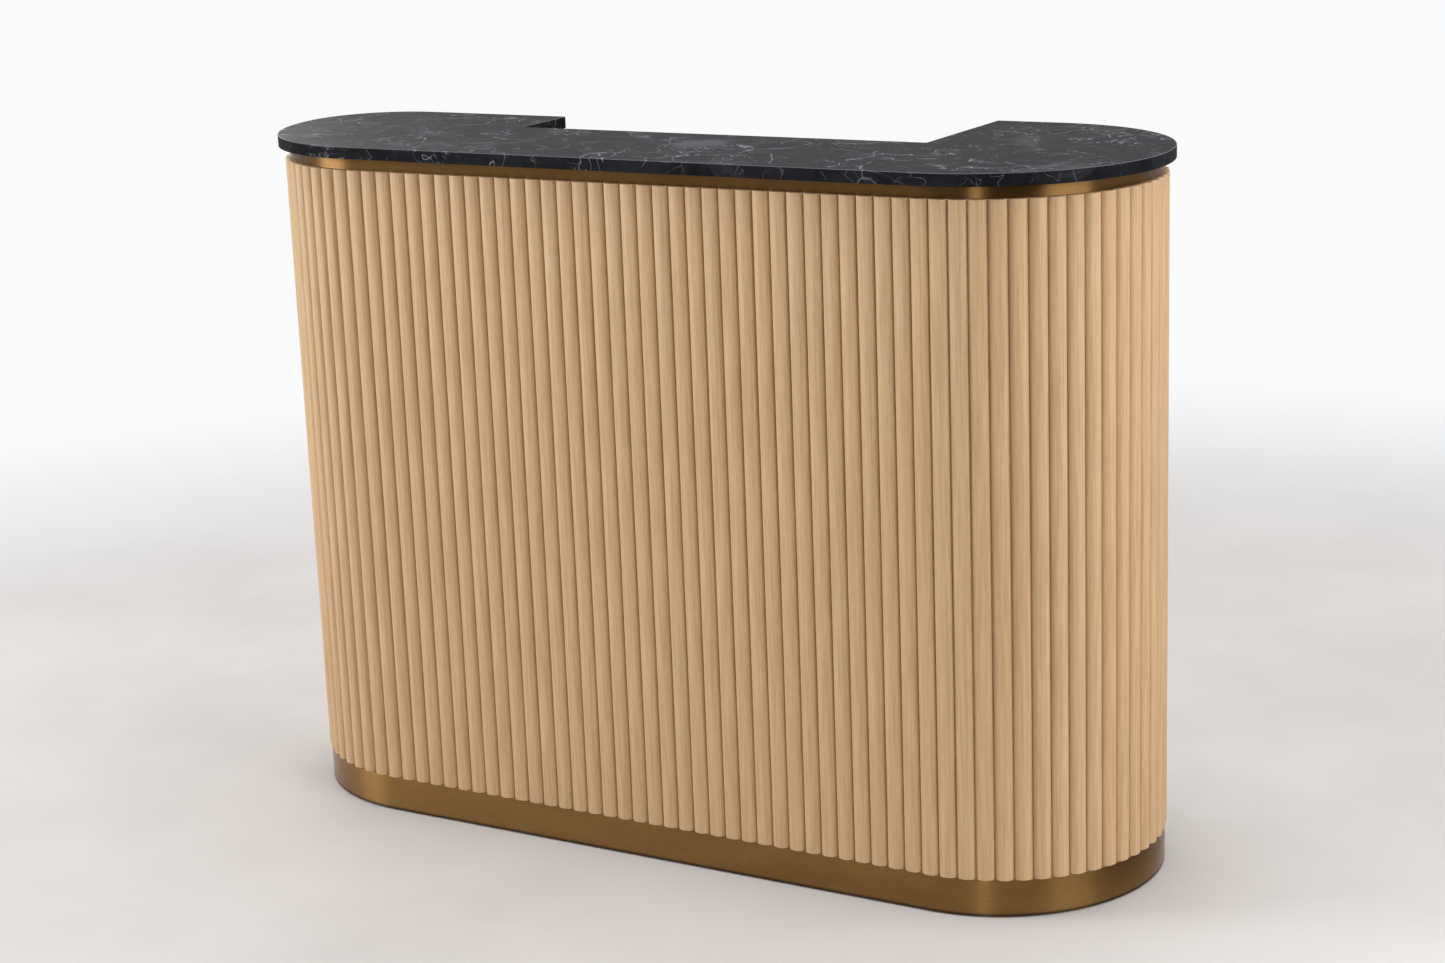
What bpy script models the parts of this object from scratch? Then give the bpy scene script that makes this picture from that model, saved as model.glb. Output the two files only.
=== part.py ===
"""Checkout counter with round ends: a slatted shell, a stone top with a staff notch, and a
worktop, drawers and a cupboard on the staff side.

Units are metres and +Z is up. The origin is on the floor, at the centre of the footprint.
+X runs along the counter, the customers stand on the -Y side and the staff on the +Y side.
The right wing ends in a half circle. The left wing is shallower: its front corner has the same
radius, and its back corner has a smaller one.
"""

import math

import bmesh
import bpy
from mathutils import Vector

GAP = 0.0003  # clearance between pieces that touch

# Overall size
LENGTH = 1.440
DEPTH = 0.510
HEIGHT = 1.050
BOARD = 0.018  # thickness of the panels
LEFT_SETBACK = 0.120  # how much shallower the left wing is than the right one
FACET_DEGREES = 3.75  # turn of the wall from one flat facet to the next

# Stone top
SLAB_THICKNESS = 0.018
SLAB_OVERHANG = 0.0095  # beyond the crest of the slats
SLAB_ARRIS = 0.0012
SLAB_ROUNDING = 0.003  # in plan, where the notch meets the edges
NOTCH_OVERHANG = 0.010  # of the slab past the sides of the staff opening
SLAB_STRIP_BACK = 0.010  # back edge of the strip between the wings

# Slatted shell
SLAT_COUNT = 97
FRONT_SLATS = 32
SLAT_RISE = 0.0085
SLAT_BACKING = 0.002
SLAT_FACETS = 6
SHELL = 0.012  # thickness of the boards that the slats are glued to
OPENING_LEFT = -0.335  # sides of the staff opening
OPENING_RIGHT = 0.371
DECK_STRIP_BACK = 0.0

# Plinth and feet
FLOOR_GAP = 0.002
PLINTH_TOP = 0.0557
PLINTH_PROUD = 0.006  # beyond the line of the grooves
SHEET = 0.0012  # thickness of the metal skins
PLINTH_BACK_Y = 0.0475
FOOT_X = 0.500
FOOT_Y = 0.130
FOOT_LEFT_BACK_Y = 0.014
FOOT_RADIUS = 0.020
FOOT_SOLE_TOP = 0.006
FOOT_CONE_TOP = 0.012
FOOT_STEM_RADIUS = 0.004
FOOT_STEM_TOP = 0.066

# Staff side
WORKTOP_TOP = 0.750
WORKTOP_BACK = 0.103
FRONT_FACE_Y = 0.0995  # outer face of the drawer fronts and the door
REVEAL = 0.003  # shadow gap round the fronts
UPPER_FRONT_HEIGHT = 0.150
GROMMET_X = 0.245
GROMMET_Y = -0.145
GROMMET_RADIUS = 0.030
GROMMET_FLANGE = 0.006  # of the ring beyond its hole
GROMMET_WALL = 0.0035
GROMMET_RISE = 0.003  # of the ring and its lid above the worktop
GROMMET_LEDGE_DEPTH = 0.006  # from the worktop down to the ledge under the lid
CABLE_SLOT_HALF = 0.008
CABLE_SLOT_START = 0.012  # from the middle of the lid

# Drawers
BOX_WALL = 0.012
BOX_FLOOR = 0.006
BOX_FRONT_Y = -0.195
SLIDE_ROOM = 0.013  # between a drawer box and the panel beside it
SLIDE_HEIGHT = 0.045
SLIDE_START_Y = -0.200
SLIDE_END_Y = 0.0725
SLIDE_SHEET = 0.0012
PULL_RADIUS = 0.004
PULL_LENGTH = 0.160
PULL_REACH = 0.024
LOCK_BELOW_TOP = 0.024
LOCK_RADIUS = 0.0092
LOCK_FLANGE_RADIUS = 0.011
LOCK_FLANGE = 0.0015
LOCK_TAIL_RADIUS = 0.004
LOCK_TAIL = 0.004
LOCK_CAM_HALF = 0.0045
LOCK_CAM_REACH = 0.014
PULL_CORNER = 0.008

# Door
HINGE_AXIS_X = 0.3681
HINGE_AXIS_Y = 0.103
HINGE_KNUCKLE = 0.0025
HINGE_HEIGHT = 0.060
HINGE_PIN_RADIUS = 0.001
HINGE_LEAF = 0.001  # thickness of the leaves
HINGE_FROM_END = 0.090  # from the door's end to the middle of the hinge
DOOR_TO_AXIS = 0.0008
DOOR_PULL_X = 0.035
DOOR_PULL_BELOW_TOP = 0.140
SHELF_TOP = 0.378
PIN_RADIUS = 0.003
PIN_LENGTH = 0.012
PIN_YS = {"front": -0.160, "back": 0.035}

# Sizes that follow from those above
SLAB_RADIUS = DEPTH / 2
HALF_STRAIGHT = LENGTH / 2 - SLAB_RADIUS
GROOVE_INSET = SLAB_OVERHANG + SLAT_RISE  # from the slab's edge to the line of the grooves
GROOVE_RADIUS = SLAB_RADIUS - GROOVE_INSET
LEFT_BACK_RADIUS = GROOVE_RADIUS - LEFT_SETBACK
LEFT_BACK_CENTRE_X = -HALF_STRAIGHT - LEFT_SETBACK
RIGHT_RUN = 2 * HALF_STRAIGHT + math.pi * GROOVE_RADIUS - OPENING_RIGHT
LEFT_RUN = (
    HALF_STRAIGHT
    + math.pi / 2 * (GROOVE_RADIUS + LEFT_BACK_RADIUS)
    - LEFT_BACK_CENTRE_X
    + OPENING_LEFT
)
PITCH = (LEFT_RUN + RIGHT_RUN) / SLAT_COUNT
LEFT_SLATS = round(LEFT_RUN / PITCH) - FRONT_SLATS // 2
FRONT_START = -LEFT_RUN + LEFT_SLATS * PITCH
FRONT_END = FRONT_START + FRONT_SLATS * PITCH
SHELL_OUTSIDE = -SLAT_BACKING - GAP
SHELL_INSIDE = SHELL_OUTSIDE - SHELL
INNER_Y = GROOVE_RADIUS + SHELL_INSIDE - GAP  # panels inside the shell reach this far
LEFT_INNER_Y = INNER_Y - LEFT_SETBACK

BASE_BOTTOM = PLINTH_TOP + GAP
BASE_TOP = BASE_BOTTOM + BOARD
CARCASS_BOTTOM = BASE_TOP + GAP
SLAB_BOTTOM = HEIGHT - SLAB_THICKNESS
DECK_TOP = SLAB_BOTTOM - GAP
DECK_BOTTOM = DECK_TOP - BOARD
CARCASS_TOP = DECK_BOTTOM - GAP
WORKTOP_BOTTOM = WORKTOP_TOP - BOARD
FRONT_BACK_Y = FRONT_FACE_Y - BOARD
FRONTS_BOTTOM = BASE_TOP + REVEAL
FRONTS_TOP = WORKTOP_BOTTOM - REVEAL
LOWER_FRONT_HEIGHT = (FRONTS_TOP - FRONTS_BOTTOM - UPPER_FRONT_HEIGHT - 2 * REVEAL) / 2
COLUMN_LEFT = OPENING_LEFT
COLUMN_RIGHT = -BOARD / 2


def new_collection(name):
    collection = bpy.data.collections.new(name)
    bpy.context.scene.collection.children.link(collection)
    return collection


def material(name, colour, roughness, metallic=0.0):
    made = bpy.data.materials.new(name)
    made.use_nodes = True
    shader = made.node_tree.nodes["Principled BSDF"]
    shader.inputs["Base Color"].default_value = (*colour, 1.0)
    shader.inputs["Roughness"].default_value = roughness
    shader.inputs["Metallic"].default_value = metallic
    return made


def link(obj, finish):
    obj.data.materials.append(finish)
    PARTS.objects.link(obj)
    return obj


def mesh_object(name, shape):
    """An object from a bmesh, which is used up."""
    mesh = bpy.data.meshes.new(name)
    shape.to_mesh(mesh)
    shape.free()
    return bpy.data.objects.new(name, mesh)


def shade_smooth(obj, angle=30.0):
    obj.data.shade_smooth()
    obj.data.set_sharp_from_angle(angle=math.radians(angle))


def bevel_edges(obj, width, segments=1):
    bevel = obj.modifiers.new("Rounded edges", "BEVEL")
    bevel.width = width
    bevel.segments = segments
    bevel.limit_method = "ANGLE"
    bevel.angle_limit = math.radians(50)


def block_shape(x, y, z):
    """A bmesh cuboid from its three (low, high) ranges, centred on the origin, and its centre."""
    shape = bmesh.new()
    bmesh.ops.create_cube(shape, size=1.0)
    size = Vector((x[1] - x[0], y[1] - y[0], z[1] - z[0]))
    bmesh.ops.scale(shape, vec=size, verts=shape.verts)
    centre = Vector((x[0] + x[1], y[0] + y[1], z[0] + z[1])) / 2
    return shape, centre


def board(name, x, y, z, finish, edge=0.0):
    """A flat panel from its three (low, high) ranges, with softened edges where edge is given."""
    shape, centre = block_shape(x, y, z)
    obj = mesh_object(name, shape)
    obj.location = centre
    if edge:
        bevel_edges(obj, edge)
    return link(obj, finish)


def cylinder_shape(radius, length, direction, sides):
    """A bmesh cylinder centred on the origin, along direction."""
    shape = bmesh.new()
    bmesh.ops.create_cone(
        shape, cap_ends=True, segments=sides, radius1=radius, radius2=radius, depth=length
    )
    turn = Vector((0, 0, 1)).rotation_difference(Vector(direction)).to_matrix()
    bmesh.ops.rotate(shape, cent=(0, 0, 0), matrix=turn, verts=shape.verts)
    return shape


def cylinder(name, centre, radius, length, direction, finish, sides=16):
    obj = mesh_object(name, cylinder_shape(radius, length, direction, sides))
    obj.location = centre
    shade_smooth(obj)
    return link(obj, finish)


def flat_shape(name, outlines, z, finish):
    """A flat board cut to closed outlines; the second and later ones are holes."""
    curve = bpy.data.curves.new(name, "CURVE")
    curve.dimensions = "2D"
    curve.fill_mode = "BOTH"
    curve.extrude = (z[1] - z[0]) / 2
    for outline in outlines:
        spline = curve.splines.new("POLY")
        spline.points.add(len(outline) - 1)
        for point, (x, y) in zip(spline.points, outline):
            point.co = (x, y, 0, 1)
        spline.use_cyclic_u = True
    obj = bpy.data.objects.new(name, curve)
    obj.location.z = (z[0] + z[1]) / 2
    return link(obj, finish)


def turned(name, profile, location, finish, steps=24):
    """A piece turned about +Z from (radius, height) points, outer side first and top to bottom."""
    mesh = bpy.data.meshes.new(name)
    points = [(radius, 0, height) for radius, height in profile]
    on_axis = profile[0][0] == 0 and profile[-1][0] == 0
    count = len(points)
    edges = [(i, i + 1) for i in range(count - 1)] + ([] if on_axis else [(count - 1, 0)])
    mesh.from_pydata(points, edges, [])
    obj = bpy.data.objects.new(name, mesh)
    obj.location = location
    screw = obj.modifiers.new("Turn", "SCREW")
    screw.steps = screw.render_steps = steps
    screw.use_merge_vertices = True
    screw.merge_threshold = 0.00001
    screw.use_smooth_shade = True
    return link(obj, finish)


def tube(name, points, radius, finish):
    """A round bar along points, with rounded caps' flat ends filled."""
    curve = bpy.data.curves.new(name, "CURVE")
    curve.dimensions = "3D"
    curve.bevel_depth = radius
    curve.bevel_resolution = 2
    curve.use_fill_caps = True
    spline = curve.splines.new("POLY")
    spline.points.add(len(points) - 1)
    for point, place in zip(spline.points, points):
        point.co = (*place, 1)
    return link(bpy.data.objects.new(name, curve), finish)


def tool(name, shape, centre):
    """A hidden shape for a Boolean."""
    obj = mesh_object(name, shape)
    obj.location = centre
    obj.hide_render = True
    obj.display_type = "WIRE"
    CUTTERS.objects.link(obj)
    return obj


def combine(obj, other, operation):
    boolean = obj.modifiers.new(other.name, "BOOLEAN")
    boolean.object = other
    boolean.operation = operation


def cut_block(obj, name, x, y, z):
    combine(obj, tool(name, *block_shape(x, y, z)), "DIFFERENCE")


def join_block(obj, name, x, y, z):
    combine(obj, tool(name, *block_shape(x, y, z)), "UNION")


def cut_cylinder(obj, name, centre, radius, length, direction, sides=24):
    combine(obj, tool(name, cylinder_shape(radius, length, direction, sides), centre), "DIFFERENCE")


def join_cylinder(obj, name, centre, radius, length, direction, sides=16):
    combine(obj, tool(name, cylinder_shape(radius, length, direction, sides), centre), "UNION")


def pivot(name, location):
    """An empty on a joint's axis, which carries the pieces that move with it."""
    empty = bpy.data.objects.new(name, None)
    empty.location = location
    PARTS.objects.link(empty)
    return empty


def carry(axis, *pieces):
    """Parents pieces, and the tools that shape them, to a pivot without moving them."""
    for piece in pieces:
        shaping = [m.object for m in piece.modifiers if m.type == "BOOLEAN"]
        for obj in (piece, *shaping):
            obj.parent = axis
            obj.location -= axis.location


def wall_point(distance, offset):
    """Plan point at offset outside the groove line, at distance along it from mid front, +X first."""
    reach = GROOVE_RADIUS + offset
    side = math.copysign(1.0, distance)
    past = abs(distance) - HALF_STRAIGHT
    if past <= 0:
        return distance, -reach
    angle = past / GROOVE_RADIUS
    if angle <= (math.pi if side > 0 else math.pi / 2):
        return side * (HALF_STRAIGHT + reach * math.sin(angle)), -reach * math.cos(angle)
    if side > 0:
        return HALF_STRAIGHT - (past - math.pi * GROOVE_RADIUS), reach
    back_reach = LEFT_BACK_RADIUS + offset
    past -= math.pi / 2 * GROOVE_RADIUS
    angle = past / LEFT_BACK_RADIUS
    if angle <= math.pi / 2:
        return LEFT_BACK_CENTRE_X - back_reach * math.cos(angle), back_reach * math.sin(angle)
    return LEFT_BACK_CENTRE_X + past - math.pi / 2 * LEFT_BACK_RADIUS, back_reach


def bend_stops(start, radius, degrees):
    """Distances of the ends of the facets along a bend that begins at start."""
    facets = round(degrees / FACET_DEGREES)
    return [start + math.radians(FACET_DEGREES) * radius * i for i in range(facets + 1)]


def wall_stops(start, end):
    """Distances along the wall where a facet begins or ends, from start to end."""
    right = bend_stops(HALF_STRAIGHT, GROOVE_RADIUS, 180)
    left = bend_stops(HALF_STRAIGHT, GROOVE_RADIUS, 90)
    left += bend_stops(left[-1], LEFT_BACK_RADIUS, 90)[1:]
    turns = [-stop for stop in reversed(left)] + right
    return [start, *(stop for stop in turns if start < stop < end), end]


def wall_line(start, end, offset):
    return [wall_point(distance, offset) for distance in wall_stops(start, end)]


def wall_skin(name, start, end, offset, thickness, z, finish):
    """An upright sheet that follows the wall, its outer face at offset from the groove line."""
    shape = bmesh.new()
    line = wall_line(start, end, offset)
    low, high = ([shape.verts.new((x, y, height)) for x, y in line] for height in z)
    for i in range(len(line) - 1):
        shape.faces.new((low[i], low[i + 1], high[i + 1], high[i]))
    obj = mesh_object(name, shape)
    solidify = obj.modifiers.new("Thickness", "SOLIDIFY")
    solidify.thickness = thickness
    solidify.offset = -1
    solidify.use_even_offset = True
    shade_smooth(obj)
    return link(obj, finish)


def slat_panel(name, start, count, finish):
    """Half-round slats side by side on their thin backing, from distance start along the wall."""
    first, last = start + GAP / 2, start + count * PITCH - GAP / 2
    outer = [wall_point(first, 0)]
    for slat in range(count):
        for i in range(1, SLAT_FACETS + 1):
            turn = math.pi * i / SLAT_FACETS
            distance = start + (slat + (1 - math.cos(turn)) / 2) * PITCH
            outer.append(wall_point(min(distance, last), SLAT_RISE * math.sin(turn)))
    inner = wall_line(first, last, -SLAT_BACKING)
    return flat_shape(name, [outer + inner[::-1]], (BASE_BOTTOM, CARCASS_TOP), finish)


def arc(centre, radius, start, end, steps):
    """Points of an arc from start to end, in degrees."""
    angles = [math.radians(start + (end - start) * i / steps) for i in range(steps + 1)]
    return [(centre[0] + radius * math.cos(a), centre[1] + radius * math.sin(a)) for a in angles]


def notched_outline(offset, overhang, strip_back, rounding):
    """The wall's closed outline at offset, with a rectangular notch from the staff side."""
    left, right = OPENING_LEFT + overhang, OPENING_RIGHT - overhang
    beyond = overhang - rounding
    outline = wall_line(-LEFT_RUN - beyond, RIGHT_RUN + beyond, offset)[1:-1]
    outline += arc((right + rounding, GROOVE_RADIUS + offset - rounding), rounding, 90, 180, 3)
    outline += arc((right - rounding, strip_back + rounding), rounding, 0, -90, 3)
    outline += arc((left + rounding, strip_back + rounding), rounding, 270, 180, 3)
    outline += arc((left - rounding, LEFT_BACK_RADIUS + offset - rounding), rounding, 0, 90, 3)
    return outline


def build_top():
    slab = flat_shape(
        "top_slab",
        [notched_outline(GROOVE_INSET, NOTCH_OVERHANG, SLAB_STRIP_BACK, SLAB_ROUNDING)],
        (SLAB_BOTTOM, HEIGHT),
        STONE,
    )
    weld = slab.modifiers.new("Weld", "WELD")
    weld.merge_threshold = 0.00001
    bevel_edges(slab, SLAB_ARRIS, segments=2)
    flat_shape(
        "top_deck",
        [notched_outline(-SHEET - GAP, 0, DECK_STRIP_BACK, SLAB_ROUNDING)],
        (DECK_BOTTOM, DECK_TOP),
        OAK_BOARD,
    )
    wall_skin("upper_band", -LEFT_RUN, RIGHT_RUN, 0, SHEET, (DECK_BOTTOM, DECK_TOP), BRONZE)


def build_shell():
    slat_panel("left_slats", -LEFT_RUN, LEFT_SLATS, OAK)
    slat_panel("front_slats", FRONT_START, FRONT_SLATS, OAK)
    slat_panel("right_slats", FRONT_END, SLAT_COUNT - LEFT_SLATS - FRONT_SLATS, OAK)
    height = (CARCASS_BOTTOM, CARCASS_TOP)
    left, right = FRONT_START + GAP / 2, FRONT_END - GAP / 2
    front_y = (-GROOVE_RADIUS - SHELL_OUTSIDE, -GROOVE_RADIUS - SHELL_INSIDE)
    board("front_board", (left, right), front_y, height, OAK_BOARD)
    wall_skin("left_shell", -LEFT_RUN, left - GAP, SHELL_OUTSIDE, SHELL, height, OAK_BOARD)
    wall_skin("right_shell", right + GAP, RIGHT_RUN, SHELL_OUTSIDE, SHELL, height, OAK_BOARD)


def build_carcass():
    upright = (CARCASS_BOTTOM, CARCASS_TOP)
    left_outer, right_outer = OPENING_LEFT - BOARD, OPENING_RIGHT + BOARD
    left_y, right_y = (-INNER_Y, LEFT_INNER_Y), (-INNER_Y, INNER_Y)
    board("left_gable", (left_outer, OPENING_LEFT), left_y, upright, OAK_BOARD)
    board("right_gable", (OPENING_RIGHT, right_outer), right_y, upright, OAK_BOARD)
    board(
        "centre_divider",
        (-BOARD / 2, BOARD / 2),
        (-INNER_Y, FRONT_BACK_Y - GAP),
        (CARCASS_BOTTOM, WORKTOP_BOTTOM - GAP),
        OAK_BOARD,
    )
    inside = SHELL_INSIDE - GAP
    left_rib = wall_line(-LEFT_RUN + BOARD + GAP, left_outer - GAP, inside)
    right_rib = wall_line(right_outer + GAP, RIGHT_RUN - BOARD - GAP, inside)
    middle = (BASE_TOP + DECK_BOTTOM) / 2
    rib_height = (middle - BOARD / 2, middle + BOARD / 2)
    flat_shape("left_rib", [left_rib], rib_height, OAK_BOARD)
    flat_shape("right_rib", [right_rib], rib_height, OAK_BOARD)


def foot_places():
    return {
        "front_left": (-FOOT_X, -FOOT_Y),
        "front_right": (FOOT_X, -FOOT_Y),
        "back_left": (-FOOT_X, FOOT_LEFT_BACK_Y),
        "back_right": (FOOT_X, FOOT_Y),
    }


def build_base():
    outline = wall_line(-LEFT_RUN, RIGHT_RUN, SHELL_OUTSIDE)
    outline.append((OPENING_RIGHT, LEFT_BACK_RADIUS + SHELL_OUTSIDE))
    holes = [arc(place, FOOT_STEM_RADIUS + GAP, 0, -330, 11) for place in foot_places().values()]
    flat_shape("base_deck", [outline, *holes], (BASE_BOTTOM, BASE_TOP), OAK_BOARD)
    height = (FLOOR_GAP, PLINTH_TOP)
    wall_skin("plinth_skin", -LEFT_RUN, RIGHT_RUN, PLINTH_PROUD, SHEET, height, BRONZE)
    ring_face = PLINTH_PROUD - SHEET - GAP
    wall_skin("plinth_ring", -LEFT_RUN, RIGHT_RUN, ring_face, BOARD, height, OAK_BOARD)
    inside = ring_face - BOARD - GAP
    back_face = PLINTH_BACK_Y + BOARD
    left_reach = math.sqrt((LEFT_BACK_RADIUS + inside) ** 2 - back_face**2)
    right_reach = math.sqrt((GROOVE_RADIUS + inside) ** 2 - back_face**2)
    board(
        "plinth_back",
        (LEFT_BACK_CENTRE_X - left_reach, HALF_STRAIGHT + right_reach),
        (PLINTH_BACK_Y, back_face),
        height,
        BRONZE,
    )
    board(
        "plinth_return",
        (OPENING_RIGHT, OPENING_RIGHT + BOARD),
        (back_face + GAP, GROOVE_RADIUS + inside),
        height,
        BRONZE,
    )
    for name, (x, y) in foot_places().items():
        build_foot(name, x, y)


def build_foot(name, x, y):
    """A levelling foot: a rubber-soled disc on a stem that screws into the base."""
    profile = [
        (0, FOOT_STEM_TOP),
        (FOOT_STEM_RADIUS, FOOT_STEM_TOP),
        (FOOT_STEM_RADIUS, FOOT_CONE_TOP + 0.002),
        (2 * FOOT_STEM_RADIUS, FOOT_CONE_TOP),
        (FOOT_RADIUS, FOOT_SOLE_TOP),
        (FOOT_RADIUS, 0.001),
        (FOOT_RADIUS - 0.001, 0),
        (0, 0),
    ]
    turned(f"foot_{name}", profile, (x, y, 0), RUBBER, steps=16)


def build_worktop():
    hole = arc((GROMMET_X, GROMMET_Y), GROMMET_RADIUS, 0, -345, 23)
    left, right = OPENING_LEFT + GAP, OPENING_RIGHT - GAP
    outline = [(left, -INNER_Y), (right, -INNER_Y), (right, WORKTOP_BACK), (left, WORKTOP_BACK)]
    flat_shape("worktop", [outline, hole], (WORKTOP_BOTTOM, WORKTOP_TOP), LAMINATE)
    build_grommet()


def build_grommet():
    """A ring in the worktop's cable hole, and the lid that turns in it to move its slot."""
    axis = (GROMMET_X, GROMMET_Y, 0)
    top = WORKTOP_TOP + GROMMET_RISE
    ledge = WORKTOP_TOP - GROMMET_LEDGE_DEPTH
    foot = WORKTOP_BOTTOM + 0.003
    flange = GROMMET_RADIUS + GROMMET_FLANGE
    sleeve = GROMMET_RADIUS - GAP
    bore = GROMMET_RADIUS - GROMMET_WALL
    under_lid = bore - 0.003
    ring = [
        (flange - 0.001, top),
        (flange, top - 0.001),
        (flange, WORKTOP_TOP + GAP),
        (sleeve, WORKTOP_TOP + GAP),
        (sleeve, foot),
        (under_lid, foot),
        (under_lid, ledge),
        (bore, ledge),
        (bore, top),
    ]
    turned("grommet_ring", ring, axis, BRONZE)
    rim = bore - GAP
    lid = [(0, top), (rim - 0.001, top), (rim, top - 0.001), (rim, ledge + GAP), (0, ledge + GAP)]
    cap = turned("grommet_cap", lid, axis, BRONZE)
    cut_block(
        cap,
        "cable_slot",
        (GROMMET_X - CABLE_SLOT_HALF, GROMMET_X + CABLE_SLOT_HALF),
        (GROMMET_Y + CABLE_SLOT_START, GROMMET_Y + rim + 0.005),
        (ledge - 0.002, top + 0.002),
    )


def bar_pull(name, centre, along, finish):
    """A bar handle that stands off the fronts; along is the unit direction of its grip."""
    centre, along = Vector(centre), Vector(along)
    out = Vector((0, 1, 0))
    half = PULL_LENGTH / 2
    grip = PULL_REACH - PULL_RADIUS
    bend = [
        (
            half - PULL_CORNER * (1 - math.sin(math.radians(turn))),
            grip - PULL_CORNER * (1 - math.cos(math.radians(turn))),
        )
        for turn in (90, 60, 30, 0)
    ]
    half_line = [(half, GAP), *bend]
    line = [(a, o) for a, o in half_line] + [(-a, o) for a, o in reversed(half_line)]
    points = [centre + along * a + out * o for a, o in line]
    return tube(name, points, PULL_RADIUS, finish)


def channel(name, web, lip, half_height, z, finish):
    """A C-shaped runner along Y. web is where its flat back starts, lip where its flanges end."""
    step = math.copysign(SLIDE_SHEET, lip - web)
    x = (min(web, lip), max(web, lip))
    y = (SLIDE_START_Y, SLIDE_END_Y)
    obj = board(name, x, y, (z - half_height, z + half_height), finish)
    inner = (min(web + step, lip + step), max(web + step, lip + step))
    room = (y[0] - 0.01, y[1] + 0.01)
    hollow = half_height - SLIDE_SHEET
    cut_block(obj, f"{name}_hollow", inner, room, (z - hollow, z + hollow))
    return obj


def build_slides(level, z):
    """The fixed and moving runners on both sides of a drawer; returns the moving ones."""
    moving = []
    reach = SLIDE_ROOM - GAP
    nested = SLIDE_HEIGHT / 2 - SLIDE_SHEET - GAP
    for side, panel, inward in (("left", COLUMN_LEFT, 1), ("right", COLUMN_RIGHT, -1)):
        web = panel + inward * GAP
        lip = panel + inward * (reach - SLIDE_SHEET - GAP)
        channel(f"rail_{level}_{side}", web, lip, SLIDE_HEIGHT / 2, z, STEEL)
        web = panel + inward * reach
        lip = panel + inward * (2 * GAP + SLIDE_SHEET)
        moving.append(channel(f"runner_{level}_{side}", web, lip, nested, z, STEEL))
    return moving


def build_drawer(level, bottom, height, box_height):
    """A drawer with its front, box, pull and moving runners on one slide."""
    middle_x = (COLUMN_LEFT + COLUMN_RIGHT) / 2
    width = (COLUMN_LEFT + 0.002, -REVEAL / 2)
    top = bottom + height
    front = board(
        f"drawer_front_{level}", width, (FRONT_BACK_Y, FRONT_FACE_Y), (bottom, top), OAK_BOARD, 0.0008
    )
    box_x = (COLUMN_LEFT + SLIDE_ROOM, COLUMN_RIGHT - SLIDE_ROOM)
    box_y = (BOX_FRONT_Y, FRONT_BACK_Y - GAP)
    box_z = (bottom + 0.015, bottom + 0.015 + box_height)
    box = board(f"drawer_box_{level}", box_x, box_y, box_z, BIRCH)
    cut_block(
        box,
        f"box_hollow_{level}",
        (box_x[0] + BOX_WALL, box_x[1] - BOX_WALL),
        (box_y[0] + BOX_WALL, box_y[1] - BOX_WALL),
        (box_z[0] + BOX_FLOOR, box_z[1] + 0.01),
    )
    pull_z = bottom + height / 2
    pull = bar_pull(f"drawer_pull_{level}", (middle_x, FRONT_FACE_Y, pull_z), (1, 0, 0), BRONZE)
    runners = build_slides(level, (box_z[0] + box_z[1]) / 2)
    if level == "upper":
        lock_z = top - LOCK_BELOW_TOP
        cut_cylinder(
            front, "lock_hole", (middle_x, FRONT_FACE_Y, lock_z), LOCK_RADIUS + GAP, 0.06, (0, 1, 0)
        )
        build_lock(middle_x, lock_z)
    slide = pivot(f"slide_{level}", (middle_x, FRONT_FACE_Y, pull_z))
    carry(slide, front, box, pull, *runners)


def build_lock(x, z):
    """The key barrel of the top drawer and the cam behind its front, turned as one piece."""
    collar = FRONT_FACE_Y + GAP
    barrel_end = -BOARD - 0.0015
    profile = [
        (0, LOCK_FLANGE),
        (LOCK_FLANGE_RADIUS - 0.0005, LOCK_FLANGE),
        (LOCK_FLANGE_RADIUS, LOCK_FLANGE - 0.0005),
        (LOCK_FLANGE_RADIUS, 0),
        (LOCK_RADIUS, 0),
        (LOCK_RADIUS, barrel_end),
        (LOCK_TAIL_RADIUS, barrel_end),
        (LOCK_TAIL_RADIUS, barrel_end - LOCK_TAIL),
        (0, barrel_end - LOCK_TAIL),
    ]
    plug = turned("lock_plug", profile, (x, collar, z), BRONZE, steps=20)
    plug.rotation_euler.x = math.radians(-90)
    cam_x = (x - LOCK_CAM_HALF, x + LOCK_CAM_REACH)
    cam_y = (collar + barrel_end - 0.003, collar + barrel_end - 0.001)
    join_block(plug, "lock_cam", cam_x, cam_y, (z - LOCK_CAM_HALF, z + LOCK_CAM_HALF))
    key_y = (collar - 0.006, collar + 0.01)
    cut_block(plug, "key_slot", (x - 0.0006, x + 0.0006), key_y, (z - 0.004, z + 0.004))


def build_drawers():
    step = LOWER_FRONT_HEIGHT + REVEAL
    build_drawer("lower", FRONTS_BOTTOM, LOWER_FRONT_HEIGHT, 0.160)
    build_drawer("middle", FRONTS_BOTTOM + step, LOWER_FRONT_HEIGHT, 0.160)
    build_drawer("upper", FRONTS_BOTTOM + 2 * step, UPPER_FRONT_HEIGHT, 0.090)


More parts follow.
